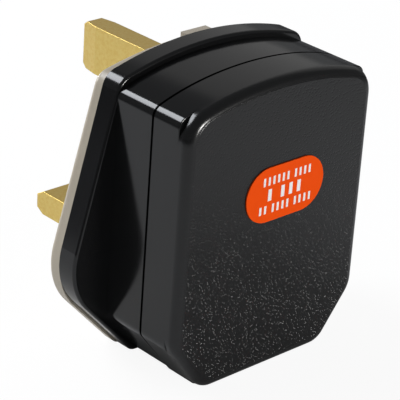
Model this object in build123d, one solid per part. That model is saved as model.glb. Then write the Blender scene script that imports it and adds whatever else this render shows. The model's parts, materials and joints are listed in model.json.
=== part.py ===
"""A rewirable fused plug with three rectangular pins, in millimetres.

X points right seen from the cover, Y points back along the pins, Z points up.
The origin lies on the engagement face, midway between the live and neutral pins.
The plug stands on its flat cable end.
"""

from build123d import *
import os
from collections import namedtuple
from math import cos, hypot, radians, sin

os.makedirs("parts", exist_ok=True)

# Pins, as the socket pattern asks for them
PIN_PITCH = 22.23
EARTH_RISE = 22.23
LINE_PIN_WIDTH = 6.35
LINE_PIN_HEIGHT = 3.97
LINE_PIN_REACH = 17.7
EARTH_PIN_WIDTH = 3.97
EARTH_PIN_HEIGHT = 7.98
EARTH_PIN_REACH = 22.73
SLEEVE_REACH = 9.3
SLEEVE_WALL = 0.4
EARTH_TIP_TAPER = (3.6, 0.68)
EARTH_TIP_CHAMFER = (0.9, 0.7)
LINE_TIP_TAPER = (0.5, 0.35)
LINE_TIP_CHAMFER = (1.9, 1.15)
LIVE_X = PIN_PITCH / 2
NEUTRAL_X = -PIN_PITCH / 2

# Levels along Y, from the engagement face to the front
PLATE_THICKNESS = 2.8
FLANGE_THICKNESS = 3.5
FLOOR_THICKNESS = 2.2
PLATE_Y = -PLATE_THICKNESS
FLANGE_Y = PLATE_Y - FLANGE_THICKNESS
FLOOR_Y = PLATE_Y - FLOOR_THICKNESS
PARTING_Y = -14.3
FRONT_Y = -21.8

# Outlines in XZ. The corner is where the arched top meets the side, the chin is where
# the side turns in, and the foot is the end of the flat bottom.
Outline = namedtuple(
    "Outline", "apex corner chin foot corner_radius chin_radius foot_radius arch_handle"
)
STAND_Z = -17.1
BODY = Outline(31.1, (18.82, 27.8), (19.0, -8.6), (12.5, -16.85), 1.9, 2.0, 1.8, 0.56)
COVER = BODY._replace(foot=(12.5, STAND_Z))
COVER_FRONT = COVER._replace(corner_radius=5.0, chin_radius=4.8, foot_radius=3.8)
FLANGE = Outline(32.2, (18.4, 29.3), (26.95, -2.5), (13.5, STAND_Z), 3.0, 10.7, 2.0, 0.66)
PLATE = Outline(30.95, (18.0, 28.6), (26.85, -3.1), (13.85, STAND_Z), 2.8, 10.8, 2.0, 0.66)

# Edges and walls of the mouldings. Near the front the cover's corners step in from a
# small radius to a large one, which leaves a crisp shoulder at each corner.
WALL = 2.0
FRONT_EDGE_RADIUS = 1.5
SHOULDER_Y = FRONT_Y + 2.2
SHOULDER_RADIUS = 0.15
FLANGE_EDGE_RADIUS = 0.45
PLATE_EDGE_RADIUS = 1.0
GROOVE_WIDTH = 0.45
GROOVE_DEPTH = 0.5
LIP_DEPTH = 1.6
LIP_THICKNESS = 1.0
LIP_GAP = 0.05
LIP_ROOT_Y = PARTING_Y - 1.5
BASE_CAVITY_HALF_WIDTH = 14.6
COVER_INNER_Y = FRONT_Y + WALL
RIB_THICKNESS = 1.0
RIB_HEIGHT = 3.0
TAB_HALF_WIDTH = 2.5
TAB_BACK_Y = -1.2
TAB_ROOT_Z = 28.0
TAB_TOP_Z = FLANGE.apex - 0.15

# Clearances, and the length that carries a cutter past the face it opens
SLOT_GAP = 0.1
SCREW_GAP = 0.4
THREAD_GAP = 0.1
PAST = 1.0

# Fuse and its holders, on the live side
FUSE_LENGTH = 25.4
FUSE_DIAMETER = 6.35
FUSE_CAP_LENGTH = 6.0
FUSE_CAP_WALL = 0.35
FUSE_CAP_CHAMFER = 0.3
FUSE_BORE = 3.6
FUSE_WIRE_DIAMETER = 0.5
FUSE_X = 10.8
FUSE_Z = 5.6
CLIP_GAUGE = 0.5
CLIP_WIDTH = 4.2
CLIP_MOUTH_ANGLE = radians(38)
CLIP_FLARE_ANGLE = radians(30)
CLIP_FLARE = 1.0
CLIP_TO_HEAD_EDGE = CLIP_WIDTH / 2 + 0.3
FUSE_PAD_HALF_WIDTH = 2.2
FUSE_PAD_HALF_HEIGHT = 0.75
FUSE_PAD_GAP = 0.2
LIVE_HEAD_DEPTH = 2.5
CLIP_BACK_Y = FLOOR_Y - LIVE_HEAD_DEPTH
FUSE_Y = CLIP_BACK_Y - CLIP_GAUGE - FUSE_DIAMETER / 2
LOWER_CLIP_Z = FUSE_Z - FUSE_LENGTH / 2 + FUSE_CAP_LENGTH / 2
UPPER_CLIP_Z = FUSE_Z + FUSE_LENGTH / 2 - FUSE_CAP_LENGTH / 2

# Terminals and their screws
TERMINAL_WIDTH = 6.5
TERMINAL_DEPTH = 8.0
TERMINAL_CHAMFER = 0.4
EARTH_TERMINAL_HEIGHT = 8.2
TERMINAL_Y = FLOOR_Y - TERMINAL_DEPTH
WIRE_HOLE_DIAMETER = 3.2
WIRE_HOLE_Y = FLOOR_Y - 3.4
TERMINAL_SCREW_DIAMETER = 3.5
TERMINAL_SCREW_HEAD_DIAMETER = 5.4
SCREW_HEAD_HEIGHT = 1.8
SCREW_HEAD_CHAMFER = 0.3
SCREW_SLOT = 0.9
SCREW_SLOT_DEPTH = 0.8
LIVE_TERMINAL_Z = 22.3
LIVE_TERMINAL_HEIGHT = 6.6

# Cover screw, between the pins
COVER_SCREW_Z = 8.6
COVER_SCREW_DIAMETER = 4.0
COVER_SCREW_HEAD_DIAMETER = 7.6
COVER_SCREW_HEAD_Y = -0.3
COVER_SCREW_SLOT_WIDTH = 1.2
COVER_SCREW_SLOT_Y = -1.2
COVER_SCREW_TIP_Y = -15.0
RETAINER_THICKNESS = 0.9
PILLAR_DIAMETER = 10.0
PILLAR_BORE = 7.6
PILLAR_Y = -9.2
NUT_LENGTH = 6.0
NUT_ACROSS_FLATS = 6.4

# Cable entry and cord grip
CABLE_HOLE_DIAMETER = 8.4
CABLE_HOLE_Y = -11.6
GRIP_POST_X = 8.3
GRIP_POST_Z = -11.3
GRIP_POST_DIAMETER = 4.6
GRIP_BAR_THICKNESS = 2.2
GRIP_BAR_HEIGHT = 4.4
GRIP_BAR_HALF_LENGTH = GRIP_POST_X + 2.4
GRIP_BAR_EDGE_RADIUS = 1.2
GRIP_BAR_Y = -12.6
GRIP_ARCH_DIAMETER = 15.0
GRIP_ARCH_RISE = 0.9
GRIP_SCREW_DIAMETER = 2.6
GRIP_SCREW_HEAD_DIAMETER = 4.2
GRIP_SCREW_LENGTH = 7.7
GRIP_HOLE_DEPTH = 6.0

# Rating label on the front, left bare
LABEL_X = 1.3
LABEL_Z = 12.95
LABEL_WIDTH = 16.0
LABEL_HEIGHT = 8.9
LABEL_THICKNESS = 0.2


def inset(outline, distance):
    """Outline moved inwards by a wall thickness."""
    run = outline.chin[0] - outline.foot[0]
    drop = outline.chin[1] - outline.foot[1]
    length = hypot(run, drop)
    normal_x = -drop / length
    normal_z = run / length
    chin_lift = distance * (1 + normal_x) / normal_z
    foot_shift = distance * (1 - normal_z) / normal_x
    return Outline(
        outline.apex - distance,
        (outline.corner[0] - distance, outline.corner[1] - distance),
        (outline.chin[0] - distance, outline.chin[1] + chin_lift),
        (outline.foot[0] + foot_shift, outline.foot[1] + distance),
        max(outline.corner_radius - distance, 0.8),
        max(outline.chin_radius - distance, 0.8),
        max(outline.foot_radius - distance, 0.8),
        outline.arch_handle,
    )


def extrude_along_y(sketch, y_start, y_end):
    """Prism of an XZ sketch between two Y levels."""
    back = max(y_start, y_end)
    plane = Plane(origin=(0, back, 0), x_dir=(1, 0, 0), z_dir=(0, -1, 0))
    return extrude(plane * sketch, amount=abs(y_end - y_start))


def outline_prism(outline, y_start, y_end):
    """Prism with the plug's characteristic outline and rounded corners."""
    corner_x, corner_z = outline.corner
    chin_x, chin_z = outline.chin
    foot_x, foot_z = outline.foot
    handle_x = corner_x * (1 - outline.arch_handle)
    handle_z = corner_z + (outline.apex - corner_z) / 0.75
    arch = Bezier(
        (-corner_x, corner_z), (-handle_x, handle_z), (handle_x, handle_z), (corner_x, corner_z)
    )
    sides = Polyline(
        (corner_x, corner_z),
        (chin_x, chin_z),
        (foot_x, foot_z),
        (-foot_x, foot_z),
        (-chin_x, chin_z),
        (-corner_x, corner_z),
    )
    prism = extrude_along_y(make_face([arch, sides]), y_start, y_end)
    middle_y = (y_start + y_end) / 2
    for (x, z), radius in (
        (outline.corner, outline.corner_radius),
        (outline.chin, outline.chin_radius),
        (outline.foot, outline.foot_radius),
    ):
        for side in (-1, 1):
            edges = prism.edges().filter_by(Axis.Y)
            nearest = edges.sort_by_distance((side * x, middle_y, z))[0]
            prism = fillet(nearest, radius)
    return prism


def box_between(x_range, y_range, z_range):
    """Box between two opposite corners."""
    spans = (x_range, y_range, z_range)
    sizes = [abs(high - low) for low, high in spans]
    middle = [(high + low) / 2 for low, high in spans]
    return Pos(*middle) * Box(*sizes)


def rod_y(diameter, x, z, y_start, y_end):
    """Round rod along Y."""
    rod = Cylinder(diameter / 2, abs(y_end - y_start), rotation=(90, 0, 0))
    return Pos(x, (y_start + y_end) / 2, z) * rod


def rod_z(diameter, x, y, z_start, z_end):
    """Round rod along Z."""
    return Pos(x, y, (z_start + z_end) / 2) * Cylinder(diameter / 2, abs(z_end - z_start))


def rod_x(diameter, y, z, x_start, x_end):
    """Round rod along X."""
    rod = Cylinder(diameter / 2, abs(x_end - x_start), rotation=(0, 90, 0))
    return Pos((x_start + x_end) / 2, y, z) * rod


def edges_at_y(solid, y):
    """Edges that lie in one Y plane."""
    return solid.edges().filter_by_position(Axis.Y, y - 0.001, y + 0.001)


def around(middle, half):
    """Range of equal reach both ways from a middle value."""
    return (middle - half, middle + half)


def pin_slots(y_start, y_end):
    """Openings that the three pins pass through."""
    slots = []
    for x, z, width, height in (
        (0, EARTH_RISE, EARTH_PIN_WIDTH, EARTH_PIN_HEIGHT),
        (NEUTRAL_X, 0, LINE_PIN_WIDTH, LINE_PIN_HEIGHT),
        (LIVE_X, 0, LINE_PIN_WIDTH, LINE_PIN_HEIGHT),
    ):
        x_range = around(x, width / 2 + SLOT_GAP)
        z_range = around(z, height / 2 + SLOT_GAP)
        slots.append(box_between(x_range, (y_start, y_end), z_range))
    return slots


def make_base():
    """Black base moulding: flange, waisted middle, floor, pillar, cable notch."""
    flange = outline_prism(FLANGE, PLATE_Y, FLANGE_Y)
    flange = fillet(edges_at_y(flange, FLANGE_Y), FLANGE_EDGE_RADIUS)
    base = flange + outline_prism(BODY, PLATE_Y - PAST, PARTING_Y)

    open_y = PARTING_Y - PAST
    cavity = outline_prism(inset(BODY, WALL), FLOOR_Y, open_y)
    cavity &= box_between(
        around(0, BASE_CAVITY_HALF_WIDTH), (FLOOR_Y, open_y), around(0, 2 * FLANGE.apex)
    )
    base -= cavity
    base -= outline_prism(inset(BODY, WALL), PARTING_Y + LIP_DEPTH + LIP_GAP, open_y)
    base -= parting_groove()

    pillar = rod_y(PILLAR_DIAMETER, 0, COVER_SCREW_Z, FLOOR_Y, PILLAR_Y)
    base += pillar - rod_y(PILLAR_BORE, 0, COVER_SCREW_Z, FLOOR_Y, PILLAR_Y)
    screw_hole = COVER_SCREW_DIAMETER + SCREW_GAP
    base -= rod_y(screw_hole, 0, COVER_SCREW_Z, PLATE_Y + PAST, FLOOR_Y - PAST)
    for slot in pin_slots(PLATE_Y + PAST, FLOOR_Y - PAST):
        base -= slot

    for x in (-GRIP_POST_X, GRIP_POST_X):
        base += rod_y(GRIP_POST_DIAMETER, x, GRIP_POST_Z, FLOOR_Y, GRIP_BAR_Y)
        hole_y = GRIP_BAR_Y + GRIP_HOLE_DEPTH
        base -= rod_y(GRIP_SCREW_DIAMETER, x, GRIP_POST_Z, hole_y, GRIP_BAR_Y)

    for rib in terminal_ribs():
        base += rib
    base -= cable_notch(open_y)
    return base


def parting_groove():
    """Shadow groove round the outside, where the base meets the cover."""
    groove = outline_prism(inset(BODY, -PAST), PARTING_Y + GROOVE_WIDTH, PARTING_Y - PAST)
    core = outline_prism(inset(BODY, GROOVE_DEPTH), PARTING_Y + PAST, PARTING_Y - 2 * PAST)
    return groove - core


def terminal_ribs():
    """Ribs on the base floor that hold the terminals in place."""
    reach = TERMINAL_WIDTH / 2 + SLOT_GAP + RIB_THICKNESS / 2
    half_height = TERMINAL_WIDTH / 2
    ribs = []
    for x, z in (
        (-reach, EARTH_RISE),
        (reach, EARTH_RISE),
        (NEUTRAL_X + reach, 0),
        (FUSE_X - reach, LIVE_TERMINAL_Z),
    ):
        y_range = (FLOOR_Y, FLOOR_Y - RIB_HEIGHT)
        ribs.append(box_between(around(x, RIB_THICKNESS / 2), y_range, around(z, half_height)))
    return ribs


def cable_notch(y_front):
    """Cable entry through the bottom wall, closed at the front by the cover."""
    z_range = (STAND_Z - PAST, STAND_Z + WALL + 2 * PAST)
    hole = rod_z(CABLE_HOLE_DIAMETER, 0, CABLE_HOLE_Y, *z_range)
    return hole + box_between(around(0, CABLE_HOLE_DIAMETER / 2), (CABLE_HOLE_Y, y_front), z_range)


def make_cover():
    """Front shell: shouldered corners, rolled front edge, lip and screw pillar."""
    shell = outline_prism(COVER, PARTING_Y, SHOULDER_Y)
    shell = fillet(edges_at_y(shell, SHOULDER_Y), SHOULDER_RADIUS)
    front = outline_prism(COVER_FRONT, SHOULDER_Y + WALL, FRONT_Y)
    front = fillet(edges_at_y(front, FRONT_Y), FRONT_EDGE_RADIUS)
    shell += front

    lip_y = PARTING_Y + LIP_DEPTH
    shell += outline_prism(inset(BODY, WALL + LIP_GAP), lip_y, PARTING_Y)
    shell -= outline_prism(inset(BODY, WALL + LIP_THICKNESS), lip_y + PAST, LIP_ROOT_Y)
    shell -= outline_prism(inset(BODY, WALL), LIP_ROOT_Y, COVER_INNER_Y)

    pillar = rod_y(PILLAR_DIAMETER, 0, COVER_SCREW_Z, PILLAR_Y, COVER_INNER_Y)
    pillar -= nut_form()
    screw_hole = COVER_SCREW_DIAMETER + SCREW_GAP
    pillar -= rod_y(screw_hole, 0, COVER_SCREW_Z, PILLAR_Y, COVER_SCREW_TIP_Y - PAST)
    shell += pillar
    for pad in fuse_pads():
        shell += pad
    shell -= rod_z(CABLE_HOLE_DIAMETER, 0, CABLE_HOLE_Y, STAND_Z - PAST, STAND_Z + 2 * WALL)
    return shell


def nut_form():
    """Outer form of the hexagonal nut in the end of the cover's pillar."""
    hexagon = RegularPolygon(NUT_ACROSS_FLATS / 2, 6, major_radius=False)
    return extrude_along_y(Pos(0, COVER_SCREW_Z) * hexagon, PILLAR_Y, PILLAR_Y - NUT_LENGTH)


def fuse_pads():
    """Two ribs in the cover that keep the fuse in its clips."""
    pad_y = FUSE_Y - FUSE_DIAMETER / 2 - FUSE_PAD_GAP
    pads = []
    for z in (LOWER_CLIP_Z, UPPER_CLIP_Z):
        x_range = around(FUSE_X, FUSE_PAD_HALF_WIDTH)
        z_range = around(z, FUSE_PAD_HALF_HEIGHT)
        pads.append(box_between(x_range, (pad_y, COVER_INNER_Y), z_range))
    return pads


def make_pin_plate():
    """Cream plate behind the flange, with the pin openings and the screw's countersink."""
    plate = outline_prism(PLATE, 0, PLATE_Y)
    plate = fillet(edges_at_y(plate, 0), PLATE_EDGE_RADIUS)
    plate += box_between(
        around(0, TAB_HALF_WIDTH), (TAB_BACK_Y, PLATE_Y), (TAB_ROOT_Z, TAB_TOP_Z)
    )
    for slot in pin_slots(PAST, PLATE_Y - PAST):
        plate -= slot
    screw_hole = COVER_SCREW_DIAMETER + SCREW_GAP
    plate -= rod_y(screw_hole, 0, COVER_SCREW_Z, PAST, PLATE_Y - PAST)
    plate -= rod_y(COVER_SCREW_HEAD_DIAMETER, 0, COVER_SCREW_Z, COVER_SCREW_HEAD_Y, PAST)
    plate -= countersunk_head()
    return plate


def countersunk_head():
    """Cone of the cover screw's head, a little below the engagement face."""
    rim = COVER_SCREW_HEAD_DIAMETER / 2
    shank = COVER_SCREW_DIAMETER / 2
    top_y = COVER_SCREW_HEAD_Y
    root_y = top_y - (rim - shank)
    profile = Polyline((0, top_y), (rim, top_y), (shank, root_y), (0, root_y), close=True)
    return Pos(0, 0, COVER_SCREW_Z) * revolve(make_face(profile), Axis.Y)


def blade(width, height, reach, tip_taper, tip_chamfer):
    """Flat pin with a tapered tip, from crossed plan and side profiles."""
    y_root = FLOOR_Y
    taper_run, taper_in = tip_taper
    chamfer_run, chamfer_drop = tip_chamfer
    half = width / 2
    plan = make_face(
        Polyline(
            (-half, y_root),
            (half, y_root),
            (half, reach - taper_run),
            (half - taper_in, reach),
            (-half + taper_in, reach),
            (-half, reach - taper_run),
            close=True,
        )
    )
    tall = height / 2
    side = make_face(
        Polyline(
            (y_root, -tall),
            (reach - chamfer_run, -tall),
            (reach, -tall + chamfer_drop),
            (reach, tall - chamfer_drop),
            (reach - chamfer_run, tall),
            (y_root, tall),
            close=True,
        )
    )
    across = extrude(Plane(origin=(0, 0, -tall)) * plan, amount=height)
    along = extrude(
        Plane(origin=(-half, 0, 0), x_dir=(0, 1, 0), z_dir=(1, 0, 0)) * side, amount=width
    )
    return across & along


def terminal_head(x, z, height):
    """Terminal block on a pin, with an upright wire hole and a clamping screw's hole."""
    half = TERMINAL_WIDTH / 2
    head = box_between(around(x, half), (FLOOR_Y, TERMINAL_Y), around(z, height / 2))
    head = chamfer(edges_at_y(head, TERMINAL_Y), TERMINAL_CHAMFER)
    head -= rod_z(WIRE_HOLE_DIAMETER, x, WIRE_HOLE_Y, z - height, z + height)
    head -= rod_y(TERMINAL_SCREW_DIAMETER, x, z, TERMINAL_Y, WIRE_HOLE_Y)
    return head


def make_earth_pin():
    """Earth pin with its terminal head."""
    pin = blade(
        EARTH_PIN_WIDTH, EARTH_PIN_HEIGHT, EARTH_PIN_REACH, EARTH_TIP_TAPER, EARTH_TIP_CHAMFER
    )
    return Pos(0, 0, EARTH_RISE) * pin + terminal_head(0, EARTH_RISE, EARTH_TERMINAL_HEIGHT)


def line_blade():
    """Short pin whose root is stepped in to take the sleeve flush."""
    full = blade(
        LINE_PIN_WIDTH, LINE_PIN_HEIGHT, LINE_PIN_REACH, LINE_TIP_TAPER, LINE_TIP_CHAMFER
    )
    return full - make_sleeve()


def make_sleeve():
    """Rectangular tube of insulation round the root of a short pin."""
    half_x = LINE_PIN_WIDTH / 2
    half_z = LINE_PIN_HEIGHT / 2
    outer = box_between(around(0, half_x), (FLOOR_Y, SLEEVE_REACH), around(0, half_z))
    through = (FLOOR_Y - PAST, SLEEVE_REACH + PAST)
    inner = box_between(
        around(0, half_x - SLEEVE_WALL), through, around(0, half_z - SLEEVE_WALL)
    )
    return outer - inner


def make_neutral_pin():
    """Neutral pin with its terminal head."""
    return Pos(NEUTRAL_X, 0, 0) * line_blade() + terminal_head(NEUTRAL_X, 0, TERMINAL_WIDTH)


def make_live_pin():
    """Live pin whose low head carries the lower fuse clip."""
    top = LINE_PIN_HEIGHT / 2 + TERMINAL_CHAMFER
    bottom = LOWER_CLIP_Z - CLIP_TO_HEAD_EDGE
    head = box_between(around(0, TERMINAL_WIDTH / 2), (FLOOR_Y, CLIP_BACK_Y), (bottom, top))
    head = chamfer(edges_at_y(head, CLIP_BACK_Y), TERMINAL_CHAMFER)
    return Pos(LIVE_X, 0, 0) * (line_blade() + head)


def make_live_terminal():
    """Live terminal block with an arm under the upper fuse clip."""
    low = LIVE_TERMINAL_Z - LIVE_TERMINAL_HEIGHT / 2
    high = LIVE_TERMINAL_Z + LIVE_TERMINAL_HEIGHT / 2
    x_range = around(FUSE_X, TERMINAL_WIDTH / 2)
    block = box_between(x_range, (FLOOR_Y, TERMINAL_Y), (low, high))
    block = chamfer(edges_at_y(block, TERMINAL_Y), TERMINAL_CHAMFER)
    arm_end = UPPER_CLIP_Z - CLIP_TO_HEAD_EDGE
    block += box_between(x_range, (FLOOR_Y, CLIP_BACK_Y), (arm_end, low + PAST))
    hole_ends = around(FUSE_X, TERMINAL_WIDTH)
    block -= rod_x(WIRE_HOLE_DIAMETER, WIRE_HOLE_Y, LIVE_TERMINAL_Z, *hole_ends)
    block -= rod_y(TERMINAL_SCREW_DIAMETER, FUSE_X, LIVE_TERMINAL_Z, TERMINAL_Y, WIRE_HOLE_Y)
    return block


def make_fuse_clip(z):
    """Spring clip: flat back, two arms that close round the fuse cap, flared mouth."""
    inner = FUSE_DIAMETER / 2 + THREAD_GAP
    outer = inner + CLIP_GAUGE
    back_y = FUSE_DIAMETER / 2
    profile = Pos(0, back_y + CLIP_GAUGE / 2) * Rectangle(2 * outer, CLIP_GAUGE)
    for side in (-1, 1):
        arm = Rectangle(CLIP_GAUGE, back_y)
        profile += Pos(side * (inner + CLIP_GAUGE / 2), back_y / 2) * arm
        inner_end = Vector(side * inner * cos(CLIP_MOUTH_ANGLE), -inner * sin(CLIP_MOUTH_ANGLE))
        outer_end = Vector(side * outer * cos(CLIP_MOUTH_ANGLE), -outer * sin(CLIP_MOUTH_ANGLE))
        hook = [
            RadiusArc((side * outer, 0), outer_end, side * outer),
            Line(outer_end, inner_end),
            RadiusArc(inner_end, (side * inner, 0), -side * inner),
            Line((side * inner, 0), (side * outer, 0)),
        ]
        profile += make_face(hook)
        flare = CLIP_FLARE * Vector(side * sin(CLIP_FLARE_ANGLE), -cos(CLIP_FLARE_ANGLE))
        lip = Polyline(inner_end, outer_end, outer_end + flare, inner_end + flare, close=True)
        profile += make_face(lip)
    return Pos(FUSE_X, FUSE_Y, z - CLIP_WIDTH / 2) * extrude(profile, amount=CLIP_WIDTH)


def make_fuse_tube():
    """Ceramic tube of the fuse."""
    ends = around(FUSE_Z, FUSE_LENGTH / 2 - FUSE_CAP_WALL)
    outside = rod_z(FUSE_DIAMETER - 2 * FUSE_CAP_WALL, FUSE_X, FUSE_Y, *ends)
    return outside - rod_z(FUSE_BORE, FUSE_X, FUSE_Y, *ends)


def make_fuse_wire():
    """Wire between the two caps, inside the tube."""
    ends = around(FUSE_Z, FUSE_LENGTH / 2 - FUSE_CAP_WALL)
    return rod_z(FUSE_WIRE_DIAMETER, FUSE_X, FUSE_Y, *ends)


def make_fuse_cap(inward):
    """Cap of the fuse, at its lower end for 1 and at its upper end for -1."""
    end_z = FUSE_Z - inward * FUSE_LENGTH / 2
    rim_z = end_z + inward * FUSE_CAP_LENGTH
    cap = rod_z(FUSE_DIAMETER, FUSE_X, FUSE_Y, end_z, rim_z)
    end_edge = cap.edges().filter_by_position(Axis.Z, end_z - 0.001, end_z + 0.001)
    cap = chamfer(end_edge, FUSE_CAP_CHAMFER)
    bore = FUSE_DIAMETER - 2 * FUSE_CAP_WALL
    floor_z = end_z + inward * FUSE_CAP_WALL
    return cap - rod_z(bore, FUSE_X, FUSE_Y, floor_z, rim_z + inward * PAST)


def slotted_screw(diameter, head_diameter, x, z, head_y, tip_y):
    """Cheese-head screw whose head faces the cover."""
    top_y = head_y - SCREW_HEAD_HEIGHT
    head = rod_y(head_diameter, 0, 0, head_y, top_y)
    head = chamfer(edges_at_y(head, top_y), SCREW_HEAD_CHAMFER)
    slot_floor_y = top_y + SCREW_SLOT_DEPTH
    head -= box_between(
        around(0, head_diameter), (top_y - PAST, slot_floor_y), around(0, SCREW_SLOT / 2)
    )
    return Pos(x, 0, z) * (head + rod_y(diameter, 0, 0, head_y, tip_y))


def make_cord_grip_bar():
    """Bar across the cable, arched on its cable side, with two screw holes."""
    front_y = GRIP_BAR_Y - GRIP_BAR_THICKNESS
    z_range = around(GRIP_POST_Z, GRIP_BAR_HEIGHT / 2)
    bar = box_between(around(0, GRIP_BAR_HALF_LENGTH), (GRIP_BAR_Y, front_y), z_range)
    bar = fillet(bar.edges().filter_by(Axis.Y), GRIP_BAR_EDGE_RADIUS)
    arch_y = GRIP_BAR_Y - GRIP_ARCH_RISE + GRIP_ARCH_DIAMETER / 2
    bar -= rod_z(GRIP_ARCH_DIAMETER, 0, arch_y, *around(GRIP_POST_Z, GRIP_BAR_HEIGHT))
    for x in (-GRIP_POST_X, GRIP_POST_X):
        hole = GRIP_SCREW_DIAMETER + SCREW_GAP
        bar -= rod_y(hole, x, GRIP_POST_Z, GRIP_BAR_Y + PAST, front_y - PAST)
    return bar


def make_cover_screw():
    """Slotted countersunk screw that goes in from the pin side."""
    shank_y = COVER_SCREW_HEAD_Y - PAST
    screw = rod_y(COVER_SCREW_DIAMETER, 0, COVER_SCREW_Z, shank_y, COVER_SCREW_TIP_Y)
    screw += countersunk_head()
    return screw - box_between(
        around(0, COVER_SCREW_HEAD_DIAMETER),
        (COVER_SCREW_SLOT_Y, PAST),
        around(COVER_SCREW_Z, COVER_SCREW_SLOT_WIDTH / 2),
    )


def make_screw_retainer():
    """Fibre washer that keeps the cover screw captive in the base."""
    face_y = FLOOR_Y - RETAINER_THICKNESS
    washer = rod_y(PILLAR_BORE - SCREW_GAP, 0, COVER_SCREW_Z, FLOOR_Y, face_y)
    hole = COVER_SCREW_DIAMETER + THREAD_GAP
    return washer - rod_y(hole, 0, COVER_SCREW_Z, FLOOR_Y + PAST, face_y - PAST)


def make_cover_nut():
    """Brass nut in the cover's pillar."""
    hole = COVER_SCREW_DIAMETER + THREAD_GAP
    end_y = PILLAR_Y - NUT_LENGTH
    return nut_form() - rod_y(hole, 0, COVER_SCREW_Z, PILLAR_Y + PAST, end_y - PAST)


def make_label():
    """Stadium-shaped sticker on the front face."""
    stadium = SlotOverall(LABEL_WIDTH, LABEL_HEIGHT)
    return extrude_along_y(Pos(LABEL_X, LABEL_Z) * stadium, FRONT_Y, FRONT_Y - LABEL_THICKNESS)


def build_plug():
    """All nodes by name."""
    nodes = {
        "base": make_base(),
        "cover": make_cover(),
        "pin_plate": make_pin_plate(),
        "rating_label": make_label(),
        "earth_pin": make_earth_pin(),
        "neutral_pin": make_neutral_pin(),
        "live_pin": make_live_pin(),
        "neutral_sleeve": Pos(NEUTRAL_X, 0, 0) * make_sleeve(),
        "live_sleeve": Pos(LIVE_X, 0, 0) * make_sleeve(),
        "live_terminal": make_live_terminal(),
        "fuse_clip_lower": make_fuse_clip(LOWER_CLIP_Z),
        "fuse_clip_upper": make_fuse_clip(UPPER_CLIP_Z),
        "fuse_tube": make_fuse_tube(),
        "fuse_cap_lower": make_fuse_cap(1),
        "fuse_cap_upper": make_fuse_cap(-1),
        "fuse_wire": make_fuse_wire(),
        "cord_grip_bar": make_cord_grip_bar(),
        "cover_screw": make_cover_screw(),
        "screw_retainer": make_screw_retainer(),
        "cover_nut": make_cover_nut(),
    }
    for name, x, z in (
        ("earth", 0, EARTH_RISE),
        ("neutral", NEUTRAL_X, 0),
        ("live", FUSE_X, LIVE_TERMINAL_Z),
    ):
        nodes[name + "_terminal_screw"] = slotted_screw(
            TERMINAL_SCREW_DIAMETER - THREAD_GAP,
            TERMINAL_SCREW_HEAD_DIAMETER,
            x,
            z,
            TERMINAL_Y,
            WIRE_HOLE_Y - SCREW_GAP,
        )
    grip_head_y = GRIP_BAR_Y - GRIP_BAR_THICKNESS
    for name, x in (("left", -GRIP_POST_X), ("right", GRIP_POST_X)):
        nodes["cord_grip_screw_" + name] = slotted_screw(
            GRIP_SCREW_DIAMETER - THREAD_GAP,
            GRIP_SCREW_HEAD_DIAMETER,
            x,
            GRIP_POST_Z,
            grip_head_y,
            grip_head_y + GRIP_SCREW_LENGTH,
        )
    return nodes


for node_name, node_shape in build_plug().items():
    export_step(node_shape, "parts/" + node_name + ".step")
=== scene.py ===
"""Looks for the three pin plug: materials, print marks, floor, lights and camera.

Lengths are in metres, unless a comment says millimetres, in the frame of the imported
model: X points right seen from the cover, Y points back along the pins, Z points up, and
the plug stands on its cable end.
"""

import json
from math import cos, pi, radians, sin, tan

import bmesh
import bpy
from mathutils import Matrix, Vector

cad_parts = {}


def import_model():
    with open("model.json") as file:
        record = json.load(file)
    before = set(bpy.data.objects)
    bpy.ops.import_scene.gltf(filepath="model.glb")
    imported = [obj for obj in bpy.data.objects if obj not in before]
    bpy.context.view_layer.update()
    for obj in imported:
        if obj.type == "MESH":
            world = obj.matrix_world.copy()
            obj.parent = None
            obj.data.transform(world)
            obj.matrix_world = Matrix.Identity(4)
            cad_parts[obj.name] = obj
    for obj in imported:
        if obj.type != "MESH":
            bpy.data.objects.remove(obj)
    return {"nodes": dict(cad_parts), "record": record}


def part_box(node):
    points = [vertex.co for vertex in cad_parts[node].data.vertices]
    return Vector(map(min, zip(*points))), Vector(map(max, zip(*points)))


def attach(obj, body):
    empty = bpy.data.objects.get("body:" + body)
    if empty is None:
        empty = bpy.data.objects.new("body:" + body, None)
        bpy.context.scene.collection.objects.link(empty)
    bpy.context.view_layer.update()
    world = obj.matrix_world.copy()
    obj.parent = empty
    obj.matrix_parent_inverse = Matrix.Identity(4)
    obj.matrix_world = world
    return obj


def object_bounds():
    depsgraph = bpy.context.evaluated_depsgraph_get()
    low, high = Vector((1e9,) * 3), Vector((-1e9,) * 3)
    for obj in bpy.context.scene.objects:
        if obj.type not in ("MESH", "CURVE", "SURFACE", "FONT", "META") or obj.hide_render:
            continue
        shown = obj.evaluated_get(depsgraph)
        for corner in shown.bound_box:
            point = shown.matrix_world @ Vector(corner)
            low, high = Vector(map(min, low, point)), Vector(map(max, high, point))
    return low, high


MM = 0.001
WHITE = (1.0, 1.0, 1.0, 1.0)

# Camera, solved from the plug's known sizes. The sensor's width is in millimetres.
CAMERA_PLACE = Vector((-187.4, -199.4, 133.5)) * MM
CAMERA_YAW = radians(43.99)
CAMERA_PITCH = radians(25.48)
CAMERA_ROLL = radians(3.97)
FOCAL_PIXELS = 1921.3
PHOTO_WIDTH = 400
SENSOR_WIDTH = 36.0
CLIP_NEAR = 0.01
CLIP_FAR = 20.0

# Floor: a sheet of white paper on a grey table, a hair below the plug
PAPER_RADIUS = 0.16
PAPER_EDGE = 0.08
FLOOR_RADIUS = 3.0
FLOOR_SEGMENTS = 96
FLOOR_GAP = 0.02 * MM
PAPER_COLOUR = (0.90, 0.90, 0.90, 1.0)
TABLE_COLOUR = (0.16, 0.16, 0.165, 1.0)

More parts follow.
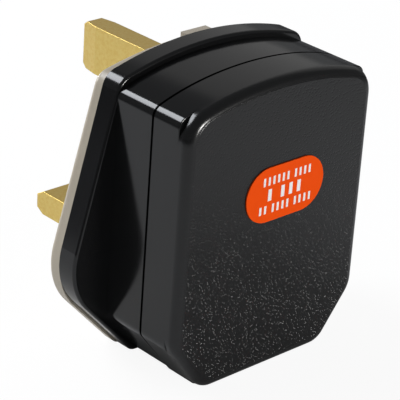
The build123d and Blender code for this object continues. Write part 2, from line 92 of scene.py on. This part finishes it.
# The camera sees the floor as a white glow, with a share of lit paper that shows the shadow
FLOOR_WHITE = 1.05
SHADOW_STRENGTH = 0.12

# Lamps as (name, azimuth from -Y towards +X, elevation, width, height, radiance, colour).
# The angles are in degrees and the lamps stand one metre away.
LAMP_DISTANCE = 1.0
LAMPS = (
    ("key", 14.0, 5.0, 16.0, 9.0, 44.0, (1.0, 0.985, 0.96)),
    ("back_softbox", 207.0, 44.0, 30.0, 21.0, 9.5, (0.92, 0.95, 1.0)),
    ("back_light", 186.0, 8.0, 40.0, 14.0, 8.0, (1.0, 0.99, 0.97)),
    ("side_card", 118.0, 27.0, 60.0, 34.0, 0.22, (1.0, 0.98, 0.95)),
)
WORLD_STRENGTH = 0.15
WORLD_COLOUR = (0.95, 0.97, 1.0, 1.0)
BACKGROUND_STRENGTH = 1.0

# Shared by several materials: the refractive index, the part of a noise that is used,
# and the Mix node's sockets that hold colours
REFRACTIVE_INDEX = 1.5
NOISE_LOW = 0.3
NOISE_HIGH = 0.7
MIX_FIRST = 6
MIX_SECOND = 7
MIX_RESULT = 2

# Black plastic. The grain is full where Y is below GRAIN_FULL_Y, which is the flat face of
# the cover, and gone above GRAIN_NONE_Y. It gets weaker from GRAIN_LOW_Z to GRAIN_HIGH_Z.
# The roughness goes from the face's to the sides' between FACE_Y and SIDES_Y.
BLACK_COLOUR = (0.0062, 0.0063, 0.0066, 1.0)
GRAIN_FULL_Y = -21.797 * MM
GRAIN_NONE_Y = -21.785 * MM
GRAIN_LOW_Z = -16.0 * MM
GRAIN_HIGH_Z = 28.0 * MM
GRAIN_TOP_SHARE = 0.42
GRAIN_SCALE = 2400.0
GRAIN_PIT = 0.05
GRAIN_RIM = 0.50
GRAIN_DEPTH = 0.066 * MM
SMOOTH_SHARE = 0.03
FACE_Y = -20.6 * MM
SIDES_Y = -19.4 * MM
FACE_ROUGHNESS = 0.21
SIDES_ROUGHNESS = 0.12

# Cream plastic
CREAM_DARK = (0.56, 0.49, 0.385, 1.0)
CREAM_LIGHT = (0.63, 0.56, 0.45, 1.0)

# Brass. The factors draw the noise out into lines along the pin.
BRASS_DARK = (0.91, 0.63, 0.165, 1.0)
BRASS_LIGHT = (0.97, 0.73, 0.245, 1.0)
BRASS_LINE_FACTORS = (900.0, 60.0, 900.0)
BRASS_DARK_ROUGHNESS = 0.40
BRASS_LIGHT_ROUGHNESS = 0.31
BRASS_EDGE_RADIUS = 0.16 * MM
BRASS_EDGE_SAMPLES = 6
TARNISH_LOW = 0.26
TARNISH_HIGH = 0.66

# Label and its print
LABEL_DARK = (0.88, 0.076, 0.003, 1.0)
LABEL_LIGHT = (0.93, 0.088, 0.005, 1.0)
LABEL_SPECULAR = 0.03
PRINT_DARK = (0.90, 0.88, 0.86, 1.0)
PRINT_LIGHT = (0.95, 0.94, 0.93, 1.0)
PRINT_SPECULAR = 0.3

# Other materials as (slot, metallic, noise scale, dark colour, light colour,
# lowest roughness, highest roughness)
PLAIN_MATERIALS = (
    ("tinned_spring", 1.0, 350.0, (0.62, 0.61, 0.58, 1), (0.74, 0.73, 0.70, 1), 0.22, 0.34),
    ("plated_cap", 1.0, 350.0, (0.66, 0.65, 0.62, 1), (0.80, 0.79, 0.76, 1), 0.15, 0.26),
    ("fuse_wire", 1.0, 350.0, (0.60, 0.60, 0.60, 1), (0.75, 0.75, 0.75, 1), 0.25, 0.35),
    ("steel", 1.0, 350.0, (0.40, 0.40, 0.40, 1), (0.54, 0.54, 0.53, 1), 0.26, 0.36),
    ("sleeve_black", 0.0, 700.0, (0.008, 0.008, 0.009, 1), (0.014, 0.014, 0.015, 1), 0.40, 0.50),
    ("ceramic", 0.0, 500.0, (0.78, 0.76, 0.70, 1), (0.86, 0.84, 0.79, 1), 0.50, 0.62),
    ("fibre", 0.0, 900.0, (0.30, 0.07, 0.035, 1), (0.40, 0.11, 0.055, 1), 0.55, 0.70),
)
# Distance and strength of the bump on those materials
METAL_BUMP = (0.01 * MM, 0.4)
MATT_BUMP = (0.02 * MM, 0.5)

# Print on the label: bars in the place of three lines of words, as (start X, end X,
# middle Z, height, number of bars in each word), with the lengths in millimetres
PRINT_THICKNESS = 0.03 * MM
PRINT_LINES = (
    (-3.4, 6.9, 15.2, 1.35, (6, 4)),
    (-2.3, 5.4, 12.9, 1.9, (1, 3)),
    (-3.9, 7.3, 10.6, 1.35, (2, 4, 4)),
)
# Shares of the step from one bar to the next: its bare part, and the extra space after a word
PRINT_GAP = 0.58
WORD_SPACE = 0.6


def new_material(name):
    """Material with an empty node tree but for its output."""
    material = bpy.data.materials.new(name)
    material.use_nodes = True
    tree = material.node_tree
    tree.nodes.clear()
    tree.nodes.new("ShaderNodeOutputMaterial")
    return material


class Graph:
    """Short way to add and join shader nodes."""

    def __init__(self, material):
        self.tree = material.node_tree
        self.output = next(n for n in self.tree.nodes if n.type == "OUTPUT_MATERIAL")

    def node(self, kind, inputs=None, **settings):
        node = self.tree.nodes.new(kind)
        for key, value in settings.items():
            setattr(node, key, value)
        for key, value in (inputs or {}).items():
            self.put(node.inputs[key], value)
        return node

    def put(self, socket, value):
        if isinstance(value, bpy.types.NodeSocket):
            self.tree.links.new(value, socket)
        else:
            socket.default_value = value

    def place(self):
        """Position on the model, in metres."""
        return self.node("ShaderNodeTexCoord").outputs["Object"]

    def scaled(self, vector, factors):
        inputs = {0: vector, 1: factors}
        return self.node("ShaderNodeVectorMath", inputs, operation="MULTIPLY").outputs[0]

    def noise(self, vector, scale, detail, roughness):
        inputs = {"Vector": vector, "Scale": scale, "Detail": detail, "Roughness": roughness}
        return self.node("ShaderNodeTexNoise", inputs).outputs["Fac"]

    def math(self, operation, first, second):
        inputs = {0: first, 1: second}
        return self.node("ShaderNodeMath", inputs, operation=operation).outputs[0]

    def ramp(self, value, low, high, start, end):
        """Smooth step of a value from one output to another."""
        inputs = {"Value": value, "From Min": low, "From Max": high, "To Min": start, "To Max": end}
        return self.node(
            "ShaderNodeMapRange", inputs, interpolation_type="SMOOTHSTEP"
        ).outputs["Result"]

    def spread(self, noise, lowest, highest):
        """Value that follows a noise between two limits."""
        return self.ramp(noise, NOISE_LOW, NOISE_HIGH, lowest, highest)

    def mix(self, factor, first, second):
        node = self.node("ShaderNodeMix", data_type="RGBA")
        self.put(node.inputs[0], factor)
        self.put(node.inputs[MIX_FIRST], first)
        self.put(node.inputs[MIX_SECOND], second)
        return node.outputs[MIX_RESULT]

    def bump(self, height, distance, strength, normal=None):
        inputs = {"Height": height, "Distance": distance, "Strength": strength}
        if normal is not None:
            inputs["Normal"] = normal
        return self.node("ShaderNodeBump", inputs).outputs["Normal"]

    def rounded_edges(self, radius, samples):
        """Normal that catches light along sharp edges, as worn metal does."""
        return self.node("ShaderNodeBevel", {"Radius": radius}, samples=samples).outputs["Normal"]

    def surface(self, specular=0.5, **inputs):
        """Main shader of the material, joined to its output."""
        names = {key.replace("_", " ").title(): value for key, value in inputs.items()}
        names["IOR"] = REFRACTIVE_INDEX
        names["Specular IOR Level"] = specular
        shader = self.node("ShaderNodeBsdfPrincipled", names)
        self.tree.links.new(shader.outputs[0], self.output.inputs[0])


def black_plastic():
    """Glossy black moulding; the front face has a fine spark-eroded grain."""
    material = new_material("shell_black")
    graph = Graph(material)
    place = graph.place()
    split = graph.node("ShaderNodeSeparateXYZ", {0: place})
    panel = graph.ramp(split.outputs["Y"], GRAIN_FULL_Y, GRAIN_NONE_Y, 1.0, 0.0)
    depth = graph.ramp(split.outputs["Z"], GRAIN_LOW_Z, GRAIN_HIGH_Z, 1.0, GRAIN_TOP_SHARE)
    cells = graph.node("ShaderNodeTexVoronoi", {"Vector": place, "Scale": GRAIN_SCALE})
    grain = graph.ramp(cells.outputs["Distance"], GRAIN_PIT, GRAIN_RIM, 0.0, 1.0)
    smooth = graph.noise(place, scale=260.0, detail=4.0, roughness=0.6)
    wave = graph.math("MULTIPLY", smooth, SMOOTH_SHARE)
    height = graph.math("MULTIPLY", graph.math("MULTIPLY", grain, panel), depth)
    height = graph.math("ADD", height, wave)
    roughness = graph.ramp(
        split.outputs["Y"], FACE_Y, SIDES_Y, FACE_ROUGHNESS, SIDES_ROUGHNESS
    )
    graph.surface(
        base_color=BLACK_COLOUR,
        roughness=graph.math("ADD", roughness, wave),
        normal=graph.bump(height, distance=GRAIN_DEPTH, strength=1.0),
    )
    return material


def cream_plastic():
    """Slightly glossy cream moulding, faintly uneven in colour and surface."""
    material = new_material("plate_cream")
    graph = Graph(material)
    place = graph.place()
    cloud = graph.noise(place, scale=120.0, detail=3.0, roughness=0.6)
    fine = graph.noise(place, scale=1500.0, detail=2.0, roughness=0.5)
    graph.surface(
        base_color=graph.mix(cloud, CREAM_DARK, CREAM_LIGHT),
        roughness=graph.spread(cloud, lowest=0.32, highest=0.42),
        normal=graph.bump(fine, distance=0.01 * MM, strength=0.5),
    )
    return material


def brass():
    """Milled brass: fine lines along the pin and a light tarnish."""
    material = new_material("brass")
    graph = Graph(material)
    place = graph.place()
    drawn_out = graph.scaled(place, BRASS_LINE_FACTORS)
    lines = graph.noise(drawn_out, scale=4.0, detail=3.0, roughness=0.6)
    tarnish = graph.noise(place, scale=1600.0, detail=5.0, roughness=0.75)
    tarnish = graph.ramp(tarnish, TARNISH_LOW, TARNISH_HIGH, 0.0, 1.0)
    edges = graph.rounded_edges(BRASS_EDGE_RADIUS, BRASS_EDGE_SAMPLES)
    graph.surface(
        base_color=graph.mix(tarnish, BRASS_DARK, BRASS_LIGHT),
        metallic=1.0,
        roughness=graph.ramp(tarnish, 0.0, 1.0, BRASS_DARK_ROUGHNESS, BRASS_LIGHT_ROUGHNESS),
        normal=graph.bump(lines, distance=0.02 * MM, strength=0.4, normal=edges),
    )
    return material


def label_orange():
    """Orange sticker with hardly any gloss."""
    material = new_material("label_orange")
    graph = Graph(material)
    cloud = graph.noise(graph.place(), scale=400.0, detail=3.0, roughness=0.6)
    graph.surface(
        base_color=graph.mix(cloud, LABEL_DARK, LABEL_LIGHT),
        roughness=graph.spread(cloud, lowest=0.38, highest=0.46),
        specular=LABEL_SPECULAR,
        normal=graph.bump(cloud, distance=0.01 * MM, strength=0.4),
    )
    return material


def print_white():
    """White ink of the print marks."""
    material = new_material("print_white")
    graph = Graph(material)
    cloud = graph.noise(graph.place(), scale=900.0, detail=3.0, roughness=0.6)
    graph.surface(
        base_color=graph.mix(cloud, PRINT_DARK, PRINT_LIGHT),
        roughness=graph.spread(cloud, lowest=0.40, highest=0.50),
        specular=PRINT_SPECULAR,
    )
    return material


def plain_material(name, metallic, scale, dark, light, lowest, highest):
    """Metal or matt material that is only a little uneven."""
    material = new_material(name)
    graph = Graph(material)
    cloud = graph.noise(graph.place(), scale, detail=4.0, roughness=0.6)
    distance, strength = METAL_BUMP if metallic else MATT_BUMP
    graph.surface(
        base_color=graph.mix(cloud, dark, light),
        metallic=metallic,
        roughness=graph.spread(cloud, lowest, highest),
        normal=graph.bump(cloud, distance, strength),
    )
    return material


def dress_nodes(frame):
    """Gives every node of the model its material."""
    by_slot = {
        "shell_black": black_plastic(),
        "plate_cream": cream_plastic(),
        "label_orange": label_orange(),
        "brass": brass(),
    }
    for values in PLAIN_MATERIALS:
        by_slot[values[0]] = plain_material(*values)
    for row in frame["record"]["subparts"]:
        node = frame["nodes"][row["node"]]
        node.data.materials.clear()
        node.data.materials.append(by_slot[row["material_slot"]])


def add_bar(build, low, high):
    """Thin box of print, given by two opposite corners."""
    middle = [(a + b) / 2 for a, b in zip(low, high)]
    size = [abs(b - a) for a, b in zip(low, high)]
    matrix = Matrix.Translation(middle) @ Matrix.Diagonal((*size, 1.0))
    bmesh.ops.create_cube(build, size=1.0, matrix=matrix)


def add_print():
    """White marks on the label in three lines, with letter-like bars and no words."""
    label_low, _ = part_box("rating_label")
    face_y = label_low[1]
    mesh = bpy.data.meshes.new("label_print")
    build = bmesh.new()
    for start, end, middle_z, height, words in PRINT_LINES:
        letters = sum(words)
        pitch = (end - start) / (letters + (len(words) - 1) * WORD_SPACE)
        x = start
        for count in words:
            for _ in range(count):
                add_bar(
                    build,
                    (x * MM, face_y - PRINT_THICKNESS, (middle_z - height / 2) * MM),
                    ((x + pitch * (1 - PRINT_GAP)) * MM, face_y, (middle_z + height / 2) * MM),
                )
                x += pitch
            x += pitch * WORD_SPACE
    build.to_mesh(mesh)
    build.free()
    piece = bpy.data.objects.new("label_print", mesh)
    bpy.context.collection.objects.link(piece)
    mesh.materials.append(print_white())
    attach(piece, "root")


def add_camera():
    """Camera of the photograph, turned by yaw, pitch and roll."""
    ahead = Vector(
        (
            sin(CAMERA_YAW) * cos(CAMERA_PITCH),
            cos(CAMERA_YAW) * cos(CAMERA_PITCH),
            -sin(CAMERA_PITCH),
        )
    )
    level_right = ahead.cross(Vector((0, 0, 1))).normalized()
    level_up = level_right.cross(ahead)
    right = level_right * cos(CAMERA_ROLL) + level_up * sin(CAMERA_ROLL)
    up = level_up * cos(CAMERA_ROLL) - level_right * sin(CAMERA_ROLL)
    data = bpy.data.cameras.new("camera")
    data.sensor_width = SENSOR_WIDTH
    data.lens = FOCAL_PIXELS / PHOTO_WIDTH * SENSOR_WIDTH
    data.clip_start = CLIP_NEAR
    data.clip_end = CLIP_FAR
    camera = bpy.data.objects.new("camera", data)
    rotation = Matrix((right, up, -ahead)).transposed().to_4x4()
    camera.matrix_world = Matrix.Translation(CAMERA_PLACE) @ rotation
    bpy.context.collection.objects.link(camera)
    bpy.context.scene.camera = camera


def floor_material():
    """White paper that gives way to a grey table.

    The camera sees both as white, and reflections see them as they are lit.
    """
    material = new_material("floor")
    graph = Graph(material)
    place = graph.place()
    distance = graph.node("ShaderNodeVectorMath", {0: place}, operation="LENGTH").outputs["Value"]
    far = graph.ramp(distance, PAPER_RADIUS, PAPER_RADIUS + PAPER_EDGE, 0.0, 1.0)
    colour = graph.mix(far, PAPER_COLOUR, TABLE_COLOUR)
    real = graph.node("ShaderNodeBsdfDiffuse", {"Color": colour}).outputs[0]
    paper = graph.node("ShaderNodeBsdfDiffuse", {"Color": PAPER_COLOUR}).outputs[0]
    glow = graph.node("ShaderNodeEmission", {"Strength": FLOOR_WHITE}).outputs[0]
    seen = graph.node("ShaderNodeMixShader", {0: SHADOW_STRENGTH, 1: glow, 2: paper}).outputs[0]
    camera_ray = graph.node("ShaderNodeLightPath").outputs["Is Camera Ray"]
    both = graph.node("ShaderNodeMixShader", {0: camera_ray, 1: real, 2: seen}).outputs[0]
    graph.tree.links.new(both, graph.output.inputs[0])
    return material


def add_floor(level):
    """Round floor, just below the given height."""
    mesh = bpy.data.meshes.new("floor")
    build = bmesh.new()
    bmesh.ops.create_circle(build, cap_ends=True, segments=FLOOR_SEGMENTS, radius=FLOOR_RADIUS)
    build.to_mesh(mesh)
    build.free()
    floor = bpy.data.objects.new("floor", mesh)
    floor.location = (0, 0, level - FLOOR_GAP)
    bpy.context.collection.objects.link(floor)
    mesh.materials.append(floor_material())


def add_lamp(name, azimuth, elevation, width, height, radiance, colour):
    """Soft box at a direction from the plug, sized by the angles it fills."""
    azimuth = radians(azimuth)
    elevation = radians(elevation)
    away = Vector(
        (sin(azimuth) * cos(elevation), -cos(azimuth) * cos(elevation), sin(elevation))
    )
    data = bpy.data.lights.new(name, "AREA")
    data.shape = "RECTANGLE"
    data.size = 2 * LAMP_DISTANCE * tan(radians(width) / 2)
    data.size_y = 2 * LAMP_DISTANCE * tan(radians(height) / 2)
    data.energy = radiance * pi * data.size * data.size_y
    data.color = colour
    lamp = bpy.data.objects.new(name, data)
    lamp.location = away * LAMP_DISTANCE
    lamp.rotation_euler = (-away).to_track_quat("-Z", "Y").to_euler()
    lamp.visible_camera = False
    bpy.context.collection.objects.link(lamp)


def add_world():
    """Dim studio for reflections and fill light; the camera sees it as white."""
    world = bpy.data.worlds.new("studio")
    bpy.context.scene.world = world
    world.use_nodes = True
    nodes = world.node_tree.nodes
    links = world.node_tree.links
    studio = nodes["Background"]
    studio.inputs["Color"].default_value = WORLD_COLOUR
    studio.inputs["Strength"].default_value = WORLD_STRENGTH
    white = nodes.new("ShaderNodeBackground")
    white.inputs["Strength"].default_value = BACKGROUND_STRENGTH
    white.inputs["Color"].default_value = WHITE
    pick = nodes.new("ShaderNodeMixShader")
    links.new(nodes.new("ShaderNodeLightPath").outputs["Is Camera Ray"], pick.inputs[0])
    links.new(studio.outputs[0], pick.inputs[1])
    links.new(white.outputs[0], pick.inputs[2])
    links.new(pick.outputs[0], nodes["World Output"].inputs[0])


def main():
    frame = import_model()
    cad_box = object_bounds()
    dress_nodes(frame)
    add_print()
    add_camera()
    add_floor(cad_box[0][2])
    for lamp in LAMPS:
        add_lamp(*lamp)
    add_world()
    bpy.context.scene.view_settings.view_transform = "Standard"


main()
